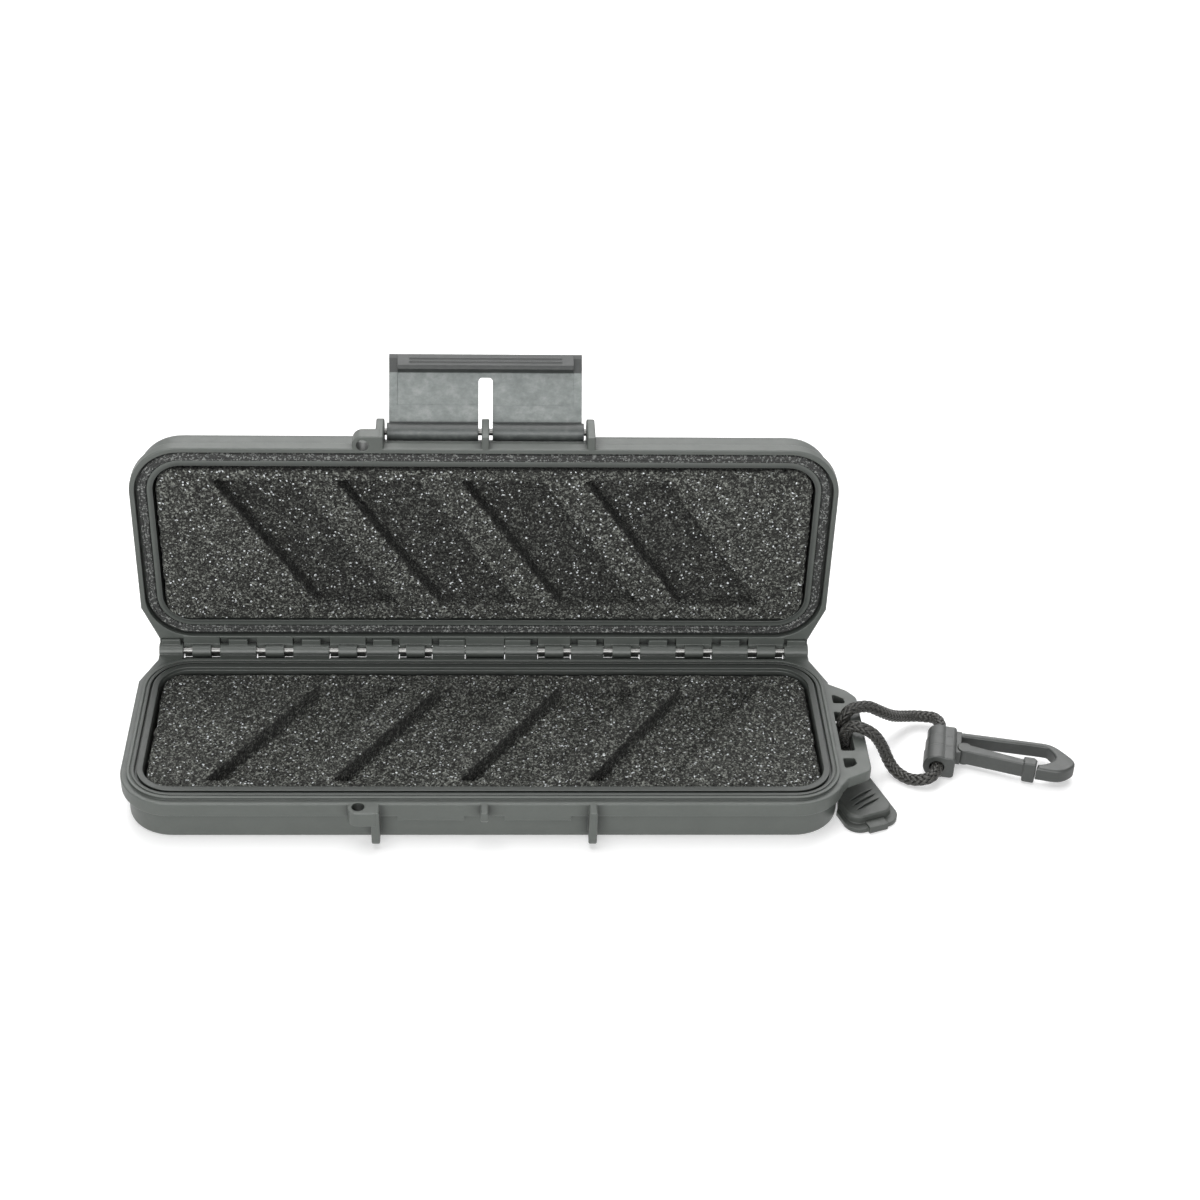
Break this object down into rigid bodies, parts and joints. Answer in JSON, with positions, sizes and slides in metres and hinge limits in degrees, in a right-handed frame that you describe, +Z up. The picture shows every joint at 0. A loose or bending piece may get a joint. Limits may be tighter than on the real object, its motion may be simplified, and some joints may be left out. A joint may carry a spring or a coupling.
{
  "type": "broadhead case",
  "caption": "Slim hinged hard case with slotted foam in both halves, a snap latch, a rim seal, a lanyard cord and a snap hook.",
  "frame": {"origin": "centre of the base's flat bottom face", "axes": "+X along the case towards the lanyard end, +Y from the latch side to the hinge, +Z up from the bottom face to the foam"},
  "size_m": [0.305, 0.112, 0.1134],
  "materials": {
    "shell": "satin",
    "latch_plastic": "satin",
    "hook_plastic": "satin",
    "rivet_plastic": "satin",
    "seal": "matte",
    "tab_rubber": "matte",
    "foam": "matte",
    "pin_steel": "polished",
    "cord": "matte"
  },
  "bodies": {
    "base": {"base_shell": "shell", "base_foam_slotted": "foam", "base_foam_backing": "foam", "hinge_pin": "pin_steel", "tab_rivet": "rivet_plastic", "lanyard_cord": "cord", "cord_knot": "cord", "snap_hook": "hook_plastic"},
    "lid": {"lid_shell": "shell", "lid_seal": "seal", "lid_foam_slotted": "foam", "lid_foam_backing": "foam", "latch_pin": "pin_steel"},
    "latch": {"latch": "latch_plastic"},
    "tab": {"vent_tab": "tab_rubber"},
    "gate": {"hook_gate": "hook_plastic"}
  },
  "joints": [
    {"name": "lid_hinge", "type": "hinge", "parent": "base", "child": "lid", "pos_m": [0, 0.042, 0.015], "axis": [1, 0, 0], "range_deg": [0, 90]},
    {"name": "latch_pivot", "type": "hinge", "parent": "lid", "child": "latch", "pos_m": [0, 0.0542, 0.0935], "axis": [1, 0, 0], "range_deg": [-45, 123]},
    {"name": "tab_swivel", "type": "hinge", "parent": "base", "child": "tab", "pos_m": [0.1176, -0.0129, 0], "axis": [0, 0, 1], "range_deg": [0, 30]},
    {"name": "gate_spring", "type": "hinge", "parent": "base", "child": "gate", "pos_m": [0.15646, 0.00015, 0.0046], "axis": [0, 0, 1], "range_deg": [0, 12], "stiffness_Nm_per_rad": 0.05}
  ]
}
